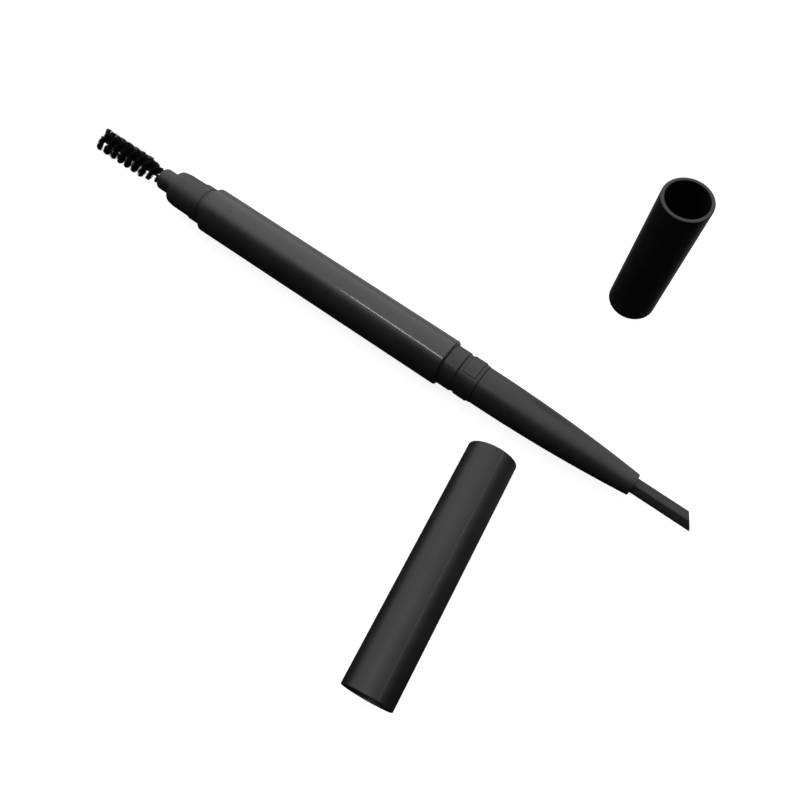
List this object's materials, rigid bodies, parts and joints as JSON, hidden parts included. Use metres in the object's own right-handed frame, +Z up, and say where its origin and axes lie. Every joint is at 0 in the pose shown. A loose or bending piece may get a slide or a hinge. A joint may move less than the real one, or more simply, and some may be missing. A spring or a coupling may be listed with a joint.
{
  "type": "double-ended brow pencil",
  "caption": "Slim twist-up brow pencil with a slanted lead at one end and a spiral brush at the other, with a long and a short push-on cap laid beside it.",
  "frame": {"origin": "on the pen's axis at the middle of the barrel", "axes": "+X along the pen towards the lead, +Z up from the surface that the pen and caps rest on"},
  "size_m": [0.1416, 0.0993, 0.0327],
  "materials": {
    "shell_plastic": "satin-gloss black moulded plastic",
    "inner_plastic": "plain black moulded plastic",
    "natural_plastic": "uncoloured moulded plastic",
    "ring_rubber": "smooth rubber",
    "pigment_lead": "matte waxy pigment",
    "bristle_nylon": "fine black nylon bristles",
    "twisted_wire": "bright drawn steel wire"
  },
  "bodies": {
    "barrel": {"barrel": "shell_plastic", "pencil_collar": "shell_plastic", "spiral_sleeve": "inner_plastic", "sleeve_plug": "inner_plastic", "brush_plug": "shell_plastic", "brush_wire": "twisted_wire", "bristles": "bristle_nylon"},
    "nozzle": {"nozzle": "shell_plastic", "guide_tube": "inner_plastic", "friction_ring": "ring_rubber"},
    "lead_carrier": {"carrier": "natural_plastic", "lead_cup": "natural_plastic", "lead": "pigment_lead"},
    "pencil_cap": {"pencil_cap": "shell_plastic"},
    "brush_cap": {"brush_cap": "shell_plastic"}
  },
  "joints": [
    {"name": "nozzle_twist", "type": "hinge", "parent": "barrel", "child": "nozzle", "pos_m": [0.03645, 0, 0], "axis": [1, 0, 0], "range_deg": [0, 792]},
    {"name": "lead_slide", "type": "slide", "parent": "nozzle", "child": "lead_carrier", "axis": [1, 0, 0], "range_m": [-0.0132, 0]},
    {"name": "pencil_cap_pull", "type": "slide", "parent": "barrel", "child": "pencil_cap", "axis": [0.134, -0.991, 0], "range_m": [0, 0.05]},
    {"name": "brush_cap_pull", "type": "slide", "parent": "barrel", "child": "brush_cap", "axis": [0, 0, 1], "range_m": [0, 0.035]}
  ],
  "couplings": [
    {"joint": "nozzle_twist", "follows": "lead_slide", "rad_per_m": -1047.2}
  ]
}
